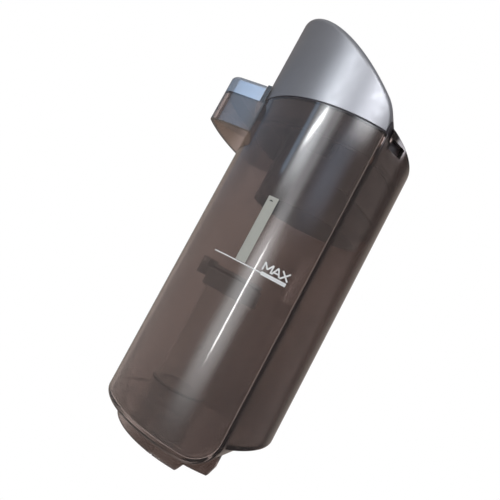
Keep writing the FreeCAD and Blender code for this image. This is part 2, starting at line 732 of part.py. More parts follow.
def make_mouth_collar():
    """Ring on the pipe's mouth with two ears that carry the flap's pin."""
    body = new_body("collar_ring")
    profile = new_sketch(body, "collar_profile", "XZ_Plane")
    inner = "sizes.pipe_radius + sizes.pin_gap"
    outer = "sizes.pipe_radius + sizes.collar_wall"
    low = PIPE_TOP + " - sizes.collar_height"
    polygon(profile, [(inner, low), (outer, low), (outer, PIPE_TOP + " - 0.8"),
                      (outer + " - 0.8", PIPE_TOP), (inner, PIPE_TOP)])
    revolve(body, profile)
    place(body, "0", "-sizes.port_offset", "0")
    hinge_y = "-(sizes.port_offset + %s)" % HINGE_OUT
    ear_inside = "sizes.knuckle_half_width + sizes.ear_gap"
    knuckle = "(sizes.pin_radius + sizes.knuckle_wall)"
    front = "-(sizes.port_offset + %s + %s)" % (HINGE_OUT, knuckle)
    root = PIPE_TOP + " - sizes.collar_height * 0.6"
    ears = []
    for side in ("right", "left"):
        start = ear_inside if side == "right" else "-(%s + sizes.ear_thickness)" % ear_inside
        ears.append(solid_box("ear_root_" + side, "sizes.ear_thickness",
                              "%s - sizes.pipe_radius + %s" % (HINGE_OUT, knuckle),
                              "sizes.collar_height * 0.6 - 0.1", start, front, root))
        ears.append(solid_box("ear_" + side, "sizes.ear_thickness", "2 * " + knuckle,
                              "%s + %s - (%s)" % (HINGE_HIGH, knuckle, root), start, front, root))
    bore = solid_cylinder("collar_bore", inner, "sizes.collar_height * 2", "0", "-sizes.port_offset",
                          PIPE_TOP + " - sizes.collar_height")
    eared = cut("collar_eared", fuse("collar_with_ears", [body] + ears), bore)
    pin_hole = cross_cylinder("collar_pin_hole", "sizes.pin_radius", "%g" % ROOM, hinge_y, HINGE_HIGH)
    return cut("mouth_collar", eared, pin_hole)


def make_flap_pin():
    half = "sizes.knuckle_half_width + sizes.ear_gap + sizes.ear_thickness + sizes.pin_overhang"
    return cross_cylinder("flap_pin", "sizes.pin_radius", half,
                          "-(sizes.port_offset + %s)" % HINGE_OUT, HINGE_HIGH)


def make_inlet_flap():
    """Round flap with an arm and a knuckle on the pin."""
    low = "%s + sizes.flap_gap + sizes.flap_seal_thickness" % PIPE_TOP
    hinge_y = "-(sizes.port_offset + %s)" % HINGE_OUT
    plate = solid_cylinder("flap_plate", "sizes.pipe_radius + 1.2", "sizes.flap_thickness",
                           "0", "-sizes.port_offset", low)
    arm = solid_box("flap_arm", "2 * sizes.knuckle_half_width - 1",
                    "%s - sizes.pipe_radius + 4" % HINGE_OUT, "sizes.flap_thickness",
                    "-sizes.knuckle_half_width + 0.5", hinge_y, low)
    knuckle = cross_cylinder("flap_knuckle", "sizes.pin_radius + sizes.knuckle_wall",
                             "sizes.knuckle_half_width", hinge_y, HINGE_HIGH)
    bore = cross_cylinder("flap_bore", "sizes.pin_radius + sizes.pin_gap", "%g" % ROOM, hinge_y, HINGE_HIGH)
    return cut("inlet_flap", fuse("flap_solid", [plate, arm, knuckle]), bore)


def make_flap_seal():
    return solid_cylinder("flap_seal", "sizes.pipe_radius + 0.6", "sizes.flap_seal_thickness",
                          "0", "-sizes.port_offset", "%s + sizes.flap_gap" % PIPE_TOP)


SCREW_PLACES = [(side, end) for side in (1, -1) for end in ("front", "rear")]


def screw_place(side, end):
    sign = "" if side > 0 else "-"
    along = "-sizes.boss_front" if end == "front" else "sizes.boss_rear"
    return sign + "(sizes.tank_radius - sizes.boss_inset)", along


CAP_BACK = "(sizes.main_back - sizes.deck_wall - sizes.deck_gap)"


def rear_deck():
    """The lid's raised part behind the cap: an upright wall, a crescent block and a lip on the rim."""
    top = "%s + sizes.rear_rise + sizes.lip_thickness" % RIM
    lip = new_body("deck_lip")
    bow = pad(lip, bulge_sketch(lip, "deck_plan", "sizes.lip_inset", RIM + " + sizes.rear_rise"),
              "sizes.lip_thickness")
    level = value(top)
    behind = SIZE["main_back"]
    round_edges(lip, bow, lambda edge: edge.BoundBox.ZMin > level - 0.01
                and edge.BoundBox.YMax > behind + 1, "sizes.deck_round")
    block = new_body("deck_block")
    pad(block, bulge_sketch(block, "deck_block_plan", "sizes.wall + sizes.plug_gap", RIM),
        "sizes.rear_rise + 0.2")
    upright_wall = new_body("deck_upright")
    pad(upright_wall, lobe_sketch(upright_wall, "deck_upright_plan", "sizes.lip_inset", RIM),
        "sizes.rear_rise + sizes.lip_thickness")
    slab = solid_box("deck_slab", "4 * sizes.tank_radius", "sizes.deck_wall", "2 * %g" % ROOM,
                     "-2 * sizes.tank_radius", "sizes.main_back - sizes.deck_wall",
                     "%s - %g" % (RIM, ROOM / 2))
    room = solid_box("deck_room", "4 * sizes.tank_radius", "2 * sizes.tank_radius", "2 * %g" % ROOM,
                     "-2 * sizes.tank_radius", "sizes.main_back - sizes.deck_wall / 2",
                     "%s - %g" % (RIM, ROOM / 2))
    raised = common("deck_raised", fuse("deck_pieces", [lip, block]), room)
    return fuse("lid_deck", [common("deck_wall", upright_wall, slab), raised])


def make_inner_lid():
    """Black inner lid: thin lip on the rim, plate inside the cap, plug skirt, deeper at the back."""
    lip = new_body("lid_lip")
    ring = pad(lip, lobe_sketch(lip, "lid_lip_plan", "sizes.lip_inset", RIM), "sizes.lip_thickness")
    round_edges(lip, ring, upright, "sizes.edge_round * 0.75")
    bridge = new_body("lid_bridge")
    pad(bridge, bulge_sketch(bridge, "lid_bridge_plan", "sizes.wall + sizes.plug_gap", RIM),
        "sizes.lip_thickness")
    plate = new_body("lid_plate")
    pad(plate, lobe_sketch(plate, "lid_plate_plan", "sizes.cap_wall + sizes.plate_gap", RIM),
        "sizes.lip_thickness + sizes.plate_thickness")
    cap_back_room = solid_box("plate_back_room", "4 * sizes.tank_radius", "%g" % ROOM, "%g" % ROOM,
                              "-2 * sizes.tank_radius",
                              CAP_BACK + " - sizes.cap_wall - sizes.plate_gap", LIP_TOP)
    plate = cut("lid_plate_cut", plate, cap_back_room)
    deck = rear_deck()
    outside = "sizes.wall + sizes.plug_gap"
    inside = outside + " + sizes.plug_wall"
    low = RIM + " - sizes.plug_depth"
    plug = cut("lid_plug", outline_plate("plug_outside", outside, low, "sizes.plug_depth + 0.4"),
               outline_plate("plug_inside", inside, low + " - 1", "sizes.plug_depth + 1"))
    deep_low = RIM + " - sizes.rear_skirt_depth"
    deep = cut("lid_deep", outline_plate("deep_outside", outside, deep_low, "sizes.rear_skirt_depth + 0.4"),
               outline_plate("deep_inside", inside, deep_low + " - 1", "sizes.rear_skirt_depth + 1"))
    back_room = solid_box("back_room", "4 * sizes.tank_radius", "2 * sizes.tank_radius",
                          "sizes.tank_height", "-2 * sizes.tank_radius", "sizes.rear_skirt_place",
                          deep_low + " - 2")
    skirt = common("lid_rear_skirt", deep, back_room)
    port_lip = solid_cylinder("air_lip", "sizes.air_port_radius + 1.8",
                              "sizes.air_port_lip + 0.4", "0", "sizes.float_place",
                              RIM + " - sizes.air_port_lip")
    reach = "sizes.plug_gap + sizes.plug_wall / 2 - sizes.lug_gap"
    start = "sizes.wall + sizes.plug_gap + sizes.plug_wall / 2"
    lug_height = "sizes.window_height - 2 * sizes.lug_gap"
    slant = "sizes.window_slant * sizes.lug_width / sizes.window_width"
    lugs = fuse("lid_lugs", [corner_block("lug_right", 1, "sizes.lug_width", start, reach, lug_height, slant),
                             corner_block("lug_left", -1, "sizes.lug_width", start, reach, lug_height, slant)])
    cap_room = solid_box("lid_cap_room", "4 * sizes.tank_radius", "4 * sizes.tank_radius + sizes.deck_gap",
                         "%g" % ROOM, "-2 * sizes.tank_radius",
                         "sizes.main_back - 4 * sizes.tank_radius", LIP_TOP)
    clear_lugs = cut("lid_clear_lugs", lugs, cap_room)
    solid = fuse("lid_solid", [lip, bridge, plate, deck, plug, skirt, port_lip, clear_lugs])
    holes = [solid_cylinder("air_port", "sizes.air_port_radius", "%g" % ROOM, "0",
                            "sizes.float_place", RIM + " - %g" % (ROOM / 2))]
    for k, (side, end) in enumerate(SCREW_PLACES):
        x, y = screw_place(side, end)
        holes.append(solid_cylinder("lid_screw_hole_%d" % k, "sizes.screw_radius + 0.1", "%g" % ROOM,
                                    x, y, RIM + " - %g" % (ROOM / 2)))
    return cut("inner_lid", solid, fuse("lid_holes", holes))


def make_lid_gasket():
    low = RIM + " - sizes.gasket_drop - sizes.gasket_height"
    outside = outline_plate("gasket_outside", "sizes.wall + sizes.gasket_gap", low, "sizes.gasket_height")
    inside = outline_plate("gasket_inside", "sizes.wall + sizes.plug_gap", low + " - 1",
                           "sizes.gasket_height + 2")
    return cut("lid_gasket", outside, inside)


def make_air_baffle():
    """Round shroud under the lid that turns the incoming air down, with air windows near its top."""
    body = new_body("air_baffle")
    ring = new_sketch(body, "baffle_plan", offset=RIM + " - sizes.baffle_depth")
    circle(ring, "sizes.baffle_radius")
    circle(ring, "sizes.baffle_radius - sizes.baffle_wall")
    pad(body, ring, "sizes.baffle_depth")
    window = new_sketch(body, "baffle_window",
                        offset=RIM + " - sizes.baffle_window_height - 5")
    half = "sizes.baffle_window_width / 2"
    rectangle(window, "sizes.baffle_radius * 0.5", "sizes.baffle_radius * 1.5", "-" + half, half)
    cut_window = pocket(body, window, "sizes.baffle_window_height", upward=True)
    around_axis(body, cut_window, 4)
    place(body, "0", "sizes.baffle_place", "0")
    return body


def make_float_cage():
    """Slotted cage that guides the float."""
    body = new_body("float_cage")
    ring = new_sketch(body, "cage_plan", offset=CAGE_FOOT)
    circle(ring, "sizes.cage_radius")
    circle(ring, "sizes.cage_radius - sizes.cage_wall")
    pad(body, ring, "sizes.cage_depth")
    slot = new_sketch(body, "cage_slot", offset=CAGE_FOOT + " + sizes.cage_ring")
    half = "sizes.cage_slot_width / 2"
    rectangle(slot, "sizes.cage_radius * 0.5", "sizes.cage_radius * 1.5", "-" + half, half)
    cut_slot = pocket(body, slot, "sizes.cage_depth - 2 * sizes.cage_ring", upward=True)
    around_axis(body, cut_slot, 6)
    place(body, "0", "sizes.float_place", "0")
    return body


def make_cage_base():
    """Ring that closes the cage's foot and stops the float."""
    body = new_body("cage_base")
    plan = new_sketch(body, "cage_base_plan", offset=CAGE_FOOT + " - sizes.cage_base_thickness")
    circle(plan, "sizes.cage_radius")
    circle(plan, "sizes.cage_base_hole")
    pad(body, plan, "sizes.cage_base_thickness")
    hole = new_sketch(body, "cage_base_drain", offset=CAGE_FOOT + " - sizes.cage_base_thickness")
    circle(hole, "1.6", "(sizes.cage_base_hole + sizes.cage_radius) / 2", "0")
    drain = pocket(body, hole, "sizes.cage_base_thickness", upward=True)
    around_axis(body, drain, 6)
    place(body, "0", "sizes.float_place", "0")
    return body


FLOAT_LOW = "(%s + sizes.float_rest_gap)" % CAGE_FOOT


def make_float_body():
    """Hollow-looking plug with a bevelled foot and a seal stud; its solid is closed."""
    body = new_body("float_body")
    profile = new_sketch(body, "float_profile", "XZ_Plane")
    outer = "sizes.cage_radius - sizes.cage_wall - sizes.float_gap"
    high = FLOAT_LOW + " + sizes.float_height"
    polygon(profile, [("0", FLOAT_LOW), (outer + " - 3", FLOAT_LOW), (outer, FLOAT_LOW + " + 3"),
                      (outer, high + " - 2"), (outer + " - 2", high), ("0", high)])
    revolve(body, profile)
    place(body, "0", "sizes.float_place", "0")
    return body


def make_float_seal():
    body = new_body("float_seal")
    profile = new_sketch(body, "float_seal_profile", "XZ_Plane")
    low = FLOAT_LOW + " + sizes.float_height"
    high = low + " + sizes.float_seal_thickness"
    outer = "sizes.air_port_radius + 1.4"
    polygon(profile, [("0", low), (outer, low), (outer, high + " - 0.4"), (outer + " - 0.4", high), ("0", high)])
    revolve(body, profile)
    place(body, "0", "sizes.float_place", "0")
    return body


# Side view of the cap: the back roll is centred just under the cap's foot, and the crest is the arc
# of crest_radius that runs through the front's top and is tangent to the roll
ROLL_Y = "(sizes.main_back - sizes.cap_back_roll)"
ROLL_Z = "(%s - sizes.cap_roll_drop)" % LIP_TOP
SPAN_Y = "(-sizes.tank_radius - %s)" % ROLL_Y
SPAN_Z = "(%s + sizes.cap_front_height - %s)" % (RIM, ROLL_Z)
SPAN = "sqrt(%s ^ 2 + %s ^ 2)" % (SPAN_Y, SPAN_Z)
REACH = "(sizes.crest_radius - sizes.cap_back_roll)"
ALONG = "((%s ^ 2 - sizes.crest_radius ^ 2 + %s ^ 2) / (2 * %s))" % (REACH, SPAN, SPAN)
ACROSS = "sqrt(%s ^ 2 - %s ^ 2)" % (REACH, ALONG)
CREST_Y = "(%s + (%s * %s - %s * %s) / %s)" % (ROLL_Y, ALONG, SPAN_Y, ACROSS, SPAN_Z, SPAN)
CREST_Z = "(%s + (%s * %s + %s * %s) / %s)" % (ROLL_Z, ALONG, SPAN_Z, ACROSS, SPAN_Y, SPAN)


def crest_sketch(body, name, inset, low):
    """Side view of the cap: the long crest runs tangent into the smaller back roll."""
    sketch = new_sketch(body, name, "YZ_Plane", "-2 * sizes.tank_radius")
    front = "-(sizes.tank_radius + 5)"
    crest_radius = "sizes.crest_radius - (%s)" % inset
    meet_y = "%s + (%s - (%s)) * (%s) / (sizes.crest_radius - sizes.cap_back_roll)" % (
        CREST_Y, ROLL_Y, CREST_Y, crest_radius)
    crest = FreeCAD.Vector(value(CREST_Y), value(CREST_Z), 0)
    roll = FreeCAD.Vector(value(ROLL_Y), value(ROLL_Z), 0)
    large = value(crest_radius)
    small = value("sizes.cap_back_roll - (%s)" % inset)
    across = value(front)
    base = value(low)
    meet = math.atan2(roll.y - crest.y, roll.x - crest.x)
    begin = math.acos((across - crest.x) / large)
    end = math.asin((base - roll.y) / small)
    upper = Part.Circle(crest, FreeCAD.Vector(0, 0, 1), large)
    lower = Part.Circle(roll, FreeCAD.Vector(0, 0, 1), small)
    sketch.addGeometry(Part.ArcOfCircle(upper, meet, begin), False)
    corner = FreeCAD.Vector(across, base, 0)
    sketch.addGeometry(Part.LineSegment(crest + FreeCAD.Vector(large * math.cos(begin),
                                                               large * math.sin(begin), 0), corner), False)
    foot = roll + FreeCAD.Vector(small * math.cos(end), small * math.sin(end), 0)
    sketch.addGeometry(Part.LineSegment(corner, foot), False)
    sketch.addGeometry(Part.ArcOfCircle(lower, end, meet), False)
    sketch.addConstraint(Sketcher.Constraint("Coincident", 0, 2, 1, 1))
    sketch.addConstraint(Sketcher.Constraint("Coincident", 1, 2, 2, 1))
    sketch.addConstraint(Sketcher.Constraint("Coincident", 2, 2, 3, 1))
    sketch.addConstraint(Sketcher.Constraint("Coincident", 3, 2, 0, 1))
    place_point(sketch, 0, 3, CREST_Y, CREST_Z)
    place_point(sketch, 3, 3, ROLL_Y, ROLL_Z)
    set_radius(sketch, 0, crest_radius)
    place_along(sketch, "DistanceX", 0, 1, meet_y)
    place_along(sketch, "DistanceX", 0, 2, front)
    place_point(sketch, 1, 2, front, low)
    place_along(sketch, "DistanceY", 2, 2, low)
    return sketch


def cap_form(name, inset, low, height):
    """The cap's closed form: a round drum under the crest, with a rounded upper edge."""
    drum = new_body(name + "_drum")
    plan = new_sketch(drum, name + "_plan", offset=low)
    circle(plan, "sizes.tank_radius - (%s)" % inset)
    pad(drum, plan, height)
    side = new_body(name + "_side")
    pad(side, crest_sketch(side, name + "_crest", inset, low), "4 * sizes.tank_radius")
    sloped = common(name + "_sloped", drum, side)
    doc.recompute()
    thinner = SIZE["cap_wall"] if inset != "0" else 0.0
    side_radius = SIZE["cap_side_round"] - thinner
    level = value(low) + 1
    side_edges = []
    for k, edge in enumerate(sloped.Shape.Edges):
        if edge.BoundBox.ZMax > level and edge.BoundBox.ZLength > 0.01:
            side_edges.append((k + 1, side_radius, side_radius))
    softened = doc.addObject("Part::Fillet", name + "_softened")
    softened.Base = sloped
    softened.Edges = side_edges
    behind = solid_box(name + "_behind", "4 * sizes.tank_radius", "2 * sizes.tank_radius",
                       "4 * sizes.tank_radius", "-2 * sizes.tank_radius", "%s - (%s)" % (CAP_BACK, inset),
                       "%s - %g" % (RIM, ROOM))
    return cut(name, softened, behind)


def slope_placement():
    """Frame on the crest: x across, y down the slope, z outward."""
    y = -SIZE["filter_place"]
    centre_y = value(CREST_Y)
    radius = SIZE["crest_radius"]
    rise = math.sqrt(radius ** 2 - (y - centre_y) ** 2)
    tilt = math.degrees(math.asin((y - centre_y) / radius))
    turn = FreeCAD.Rotation(FreeCAD.Vector(1, 0, 0), -tilt)
    return FreeCAD.Placement(FreeCAD.Vector(0, y, value(CREST_Z) + rise), turn)


def slope_block(name, frame, half_width, half_length, low, height):
    """Rectangular block in the slope's frame."""
    body = new_body(name)
    sketch = new_sketch(body, name + "_plan", offset=low)
    rectangle(sketch, "-(%s)" % half_width, half_width, "-(%s)" % half_length, half_length)
    block = pad(body, sketch, height)
    body.Placement = frame
    return body, block


FILTER_LOW = "-(sizes.filter_sink + sizes.filter_depth)"
LEDGE_TOP = "(%s - sizes.filter_seal_height - sizes.sleeve_gap)" % FILTER_LOW


def make_top_cap():
    """Sloping shell with a sleeve for the filter and four screw bosses."""
    tall = "sizes.cap_front_height + %g" % ROOM
    outer = cap_form("cap_outside", "0", LIP_TOP, tall)
    inner = cap_form("cap_inside", "sizes.cap_wall", LIP_TOP + " - 1", tall)
    shell = cut("cap_shell", outer, inner)
    frame = slope_placement()
    sleeve_width = "sizes.filter_half_width + sizes.sleeve_gap + sizes.sleeve_wall"
    sleeve_length = "sizes.filter_half_length + sizes.sleeve_gap + sizes.sleeve_wall"
    sleeve, _ = slope_block("cap_sleeve", frame, sleeve_width, sleeve_length,
                            LEDGE_TOP + " - sizes.ledge_thickness", "%g - (%s)" % (ROOM, LEDGE_TOP))
    bosses = []
    for k, (side, end) in enumerate(SCREW_PLACES):
        x, y = screw_place(side, end)
        bosses.append(solid_cylinder("boss_%d" % k, "sizes.boss_radius", "sizes.cap_front_height",
                                     x, y, LIP_TOP + " + sizes.plate_thickness"))
    inside = common("cap_inside_parts", fuse("cap_ribs", [sleeve] + bosses), outer)
    hollow, _ = slope_block("cap_sleeve_hollow", frame, "sizes.filter_half_width + sizes.sleeve_gap",
                            "sizes.filter_half_length + sizes.sleeve_gap", LEDGE_TOP, "%g" % (2 * ROOM))
    throat, _ = slope_block("cap_throat", frame, "sizes.filter_half_width - sizes.ledge_width",
                            "sizes.filter_half_length - sizes.ledge_width",
                            LEDGE_TOP + " - %g" % (ROOM / 4), "%g" % ROOM)
    holes = [hollow, throat]
    for k, (side, end) in enumerate(SCREW_PLACES):
        x, y = screw_place(side, end)
        holes.append(solid_cylinder("boss_hole_%d" % k, "sizes.screw_radius", "sizes.screw_grip",
                                    x, y, LIP_TOP + " + sizes.plate_thickness - 1"))
    whole = fuse("cap_whole", [shell, inside])
    return cut("top_cap", whole, fuse("cap_holes", holes)), frame, outer


def make_cap_screws():
    """Four screws from below, heads against the plate."""
    screws = []
    for k, (side, end) in enumerate(SCREW_PLACES):
        x, y = screw_place(side, end)
        head = solid_cylinder("screw_head_%d" % k, "sizes.screw_head_radius", "sizes.screw_head_height",
                              x, y, RIM + " - sizes.screw_head_height")
        shank = solid_cylinder("screw_shank_%d" % k, "sizes.screw_radius",
                               "sizes.lip_thickness + sizes.plate_thickness + sizes.screw_grip - 1.5",
                               x, y, RIM)
        screws.append(fuse("screw_%d" % k, [head, shank]))
    group = doc.addObject("Part::Compound", "cap_screws")
    group.Links = screws
    return group


def make_outlet_seal(frame, outer):
    """Soft frame around the air outlet, laid on the crest."""
    inside_width = "sizes.filter_half_width + sizes.sleeve_gap + sizes.sleeve_wall"
    inside_length = "sizes.filter_half_length + sizes.sleeve_gap + sizes.sleeve_wall"
    whole, _ = slope_block("outlet_seal_outside", frame, inside_width + " + sizes.outlet_seal_width",
                           inside_length + " + sizes.outlet_seal_width", "-%g / 4" % ROOM,
                           "%g / 4 + sizes.outlet_seal_height" % ROOM)
    hollow, _ = slope_block("outlet_seal_inside", frame, inside_width, inside_length,
                            "-%g" % ROOM, "2 * %g" % ROOM)
    ring = cut("outlet_seal_ring", whole, hollow)
    return cut("outlet_seal", ring, outer)


def make_filter_frame(frame):
    """Tray with a slotted floor that holds the foam and the pleats."""
    body, tray = slope_block("filter_frame", frame, "sizes.filter_half_width",
                             "sizes.filter_half_length", FILTER_LOW, "sizes.filter_depth")
    inner = new_sketch(body, "frame_hollow", offset=FILTER_LOW + " + sizes.filter_wall")
    half = "sizes.filter_half_width - sizes.filter_wall"
    long = "sizes.filter_half_length - sizes.filter_wall"
    rectangle(inner, "-(%s)" % half, half, "-(%s)" % long, long)
    pocket(body, inner, "sizes.filter_depth", upward=True)
    slot = new_sketch(body, "frame_slot", offset=FILTER_LOW)
    first = "-(sizes.filter_half_length - sizes.ledge_width)"
    slot_half = "sizes.filter_half_width - sizes.ledge_width - 0.5"
    rectangle(slot, "-(%s)" % slot_half, slot_half, first, first + " + sizes.filter_slot")
    opened = pocket(body, slot, "sizes.filter_wall + 0.5", upward=True)
    span = "2 * (sizes.filter_half_length - sizes.ledge_width) - sizes.filter_slot"
    along_y(body, opened, span, 6)
    return body


def make_filter_seal(frame):
    ring, _ = slope_block("filter_seal_outside", frame, "sizes.filter_half_width - 0.2",
                          "sizes.filter_half_length - 0.2", FILTER_LOW + " - sizes.filter_seal_height",
                          "sizes.filter_seal_height")
    hole, _ = slope_block("filter_seal_inside", frame, "sizes.filter_half_width - sizes.ledge_width",
                          "sizes.filter_half_length - sizes.ledge_width",
                          FILTER_LOW + " - 2 * sizes.filter_seal_height", "3 * sizes.filter_seal_height")
    return cut("filter_seal", ring, hole)


def make_filter_foam(frame):
    body, slab = slope_block("filter_foam", frame, "sizes.filter_half_width - sizes.filter_wall - 0.2",
                             "sizes.filter_half_length - sizes.filter_wall - 0.2",
                             FILTER_LOW + " + sizes.filter_wall", "sizes.foam_thickness")
    return body


def make_filter_pleats(frame):
    """Folded paper: one zigzag strip across the tray."""
    low = value(FILTER_LOW + " + sizes.filter_wall + sizes.foam_thickness + 0.05")
    reach = value("sizes.filter_half_length - sizes.filter_wall - 0.3")
    half = value("sizes.filter_half_width - sizes.filter_wall - 0.3")
    folds = int(2 * reach / SIZE["pleat_pitch"])
    step = 2 * reach / folds
    thick = SIZE["paper"] * math.hypot(1.0, SIZE["pleat_height"] / step)
    under = []
    for k in range(folds + 1):
        rise = SIZE["pleat_height"] - thick if k % 2 else 0.0
        under.append(FreeCAD.Vector(-half, -reach + k * step, low + rise))
    over = [point + FreeCAD.Vector(0, 0, thick) for point in under]
    outline = under + over[::-1]
    face = Part.Face(Part.makePolygon(outline + [outline[0]]))
    pleats = doc.addObject("Part::Feature", "filter_pleats")
    pleats.Shape = face.extrude(FreeCAD.Vector(2 * half, 0, 0))
    pleats.Placement = frame
    return pleats


def make_filter_grille(frame):
    """Snap-in grille with rows of slots and a pull tab."""
    low = "-(sizes.filter_sink + sizes.grille_thickness)"
    body, plate = slope_block("grille_plate", frame, "sizes.filter_half_width - sizes.filter_wall - 0.1",
                              "sizes.filter_half_length - sizes.filter_wall - 0.1",
                              low, "sizes.grille_thickness")
    slot = new_sketch(body, "grille_slot", offset=low)
    first = "-(sizes.filter_half_length - sizes.ledge_width - 1)"
    half = "sizes.filter_half_width - sizes.ledge_width - 1"
    rectangle(slot, "-(%s)" % half, "-3", first, first + " + 2.2")
    rectangle(slot, "3", half, first, first + " + 2.2")
    opened = pocket(body, slot, "sizes.grille_thickness", upward=True)
    span = "2 * (sizes.filter_half_length - sizes.ledge_width - 1) - 2.2"
    along_y(body, opened, span, 9)
    tab, block = slope_block("grille_tab", frame, "1.2", "8", "-sizes.filter_sink - 0.2",
                             "sizes.tab_height + 0.2")
    round_edges(tab, block, lambda edge: edge.BoundBox.ZLength > 2 and edge.BoundBox.YLength < 0.1
                and edge.BoundBox.XLength < 0.1, "1")
    return fuse("filter_grille", [body, tab])


top_cap, slope_frame, cap_outside = make_top_cap()
NODES = {
    "tank_body": make_tank_body(),
    "handle_cover": make_handle_cover(),
    "standpipe": make_standpipe(),
    "standpipe_seal": make_standpipe_seal(),
    "inlet_seal": make_inlet_seal(),
    "mouth_collar": make_mouth_collar(),
    "flap_pin": make_flap_pin(),
    "inlet_flap": make_inlet_flap(),
    "flap_seal": make_flap_seal(),
    "inner_lid": make_inner_lid(),
    "lid_gasket": make_lid_gasket(),
    "air_baffle": make_air_baffle(),
    "float_cage": make_float_cage(),
    "cage_base": make_cage_base(),
    "float_body": make_float_body(),
    "float_seal": make_float_seal(),
    "top_cap": top_cap,
    "cap_screws": make_cap_screws(),
    "outlet_seal": make_outlet_seal(slope_frame, cap_outside),
    "filter_frame": make_filter_frame(slope_frame),
    "filter_seal": make_filter_seal(slope_frame),
    "filter_foam": make_filter_foam(slope_frame),
    "filter_pleats": make_filter_pleats(slope_frame),
    "filter_grille": make_filter_grille(slope_frame),
}

CENTRE_SHIFT = "(sizes.tank_radius + sizes.grip_reach - sizes.main_back - sizes.rear_reach) / 2"
finished = {}
for label, node in NODES.items():
    moved = doc.addObject("Part::Compound", "placed_" + label)
    moved.Links = [node]
    number(moved, "Placement.Base.y", CENTRE_SHIFT)
    moved.Label = label
    finished[label] = moved

doc.removeObject("probe")
doc.recompute()
failed = [obj.Name for obj in doc.Objects if "Invalid" in obj.State or "Error" in obj.State]
if failed:
    raise RuntimeError("objects that failed: " + ", ".join(failed))
os.makedirs("parts", exist_ok=True)
for label, node in finished.items():
    shape = node.Shape
    if shape.isNull() or not shape.isValid():
        raise RuntimeError("bad shape: " + label)
    shape.exportStep(os.path.join("parts", label + ".step"))
    print("%-16s solids %d  volume %9.1f" % (label, len(shape.Solids), shape.Volume))
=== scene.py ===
import json
import math

import bmesh
import bpy
from mathutils import Matrix, Vector


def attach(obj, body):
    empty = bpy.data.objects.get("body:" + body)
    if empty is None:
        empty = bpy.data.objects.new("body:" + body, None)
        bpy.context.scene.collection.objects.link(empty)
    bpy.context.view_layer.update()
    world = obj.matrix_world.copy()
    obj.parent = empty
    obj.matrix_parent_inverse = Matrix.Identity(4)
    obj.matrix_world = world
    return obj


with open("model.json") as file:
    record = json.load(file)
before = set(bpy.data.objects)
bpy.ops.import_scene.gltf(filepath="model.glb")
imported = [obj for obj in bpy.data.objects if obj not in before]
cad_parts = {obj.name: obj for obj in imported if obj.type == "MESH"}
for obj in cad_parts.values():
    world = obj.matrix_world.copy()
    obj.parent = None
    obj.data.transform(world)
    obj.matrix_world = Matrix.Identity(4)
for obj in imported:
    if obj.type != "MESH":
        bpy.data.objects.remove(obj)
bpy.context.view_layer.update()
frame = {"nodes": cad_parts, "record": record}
NODES = frame["nodes"]

# The model's round lobe, in metres: where its axis stands along Y, and its radius
AXIS_Y = 0.01885
RADIUS = 0.055

# Share of a noise's run that most of its values lie in
SPREAD = (0.3, 0.7)


# ---------------------------------------------------------------- node helpers
def new_material(name):
    """Material with a bare node tree: returns it, its tree and its shader."""
    material = bpy.data.materials.new(name)
    material.use_nodes = True
    shader = material.node_tree.nodes["Principled BSDF"]
    return material, material.node_tree, shader


def link(tree, start, end):
    tree.links.new(start, end)


def set_inputs(node, values):
    for name, value in values.items():
        node.inputs[name].default_value = value


def object_point(tree):
    return tree.nodes.new("ShaderNodeTexCoord").outputs["Object"]


def noise(tree, point, scale, detail=3.0, roughness=0.5, stretch=None):
    if stretch is not None:
        mapping = tree.nodes.new("ShaderNodeMapping")
        mapping.inputs["Scale"].default_value = stretch
        link(tree, point, mapping.inputs["Vector"])
        point = mapping.outputs["Vector"]
    node = tree.nodes.new("ShaderNodeTexNoise")
    set_inputs(node, {"Scale": scale, "Detail": detail, "Roughness": roughness})
    link(tree, point, node.inputs["Vector"])
    return node.outputs["Fac"]


def map_range(tree, source, start, stop, low=0.0, high=1.0, curve="LINEAR"):
    """Value that runs from low to high while the source runs from start to stop."""
    node = tree.nodes.new("ShaderNodeMapRange")
    node.interpolation_type = curve
    set_inputs(node, {"From Min": start, "From Max": stop, "To Min": low, "To Max": high})
    link(tree, source, node.inputs["Value"])
    return node.outputs["Result"]


def arithmetic(tree, operation, first, second=0.0):
    """Result of a math node; each operand is a number or a socket."""
    node = tree.nodes.new("ShaderNodeMath")
    node.operation = operation
    for k, operand in enumerate((first, second)):
        if isinstance(operand, (int, float)):
            node.inputs[k].default_value = operand
        else:
            link(tree, operand, node.inputs[k])
    return node.outputs["Value"]


def colour_input(tree, socket, colour):
    """Give a socket its colour, which is a triple or another socket."""
    if isinstance(colour, tuple):
        socket.default_value = (*colour, 1)
    else:
        link(tree, colour, socket)


def blend(tree, factor, off, on):
    """Mix of two colours; each is a triple or a socket."""
    node = tree.nodes.new("ShaderNodeMix")
    node.data_type = "RGBA"
    link(tree, factor, node.inputs["Factor"])
    colour_input(tree, node.inputs["A"], off)
    colour_input(tree, node.inputs["B"], on)
    return node.outputs["Result"]


def choose(tree, factor, off, on):
    """Mix of two shaders."""
    node = tree.nodes.new("ShaderNodeMixShader")
    link(tree, factor, node.inputs["Fac"])
    link(tree, off, node.inputs[1])
    link(tree, on, node.inputs[2])
    return node.outputs["Shader"]


def colour_by(tree, shader, source, low, high, spread=SPREAD):
    """Base colour that follows the source from low to high."""
    node = tree.nodes.new("ShaderNodeValToRGB")
    for stop, place, colour in zip(node.color_ramp.elements, spread, (low, high)):
        stop.position = place
        stop.color = (*colour, 1)
    link(tree, source, node.inputs["Fac"])
    link(tree, node.outputs["Color"], shader.inputs["Base Color"])


def roughness_by(tree, shader, source, low, high):
    link(tree, map_range(tree, source, *SPREAD, low, high), shader.inputs["Roughness"])


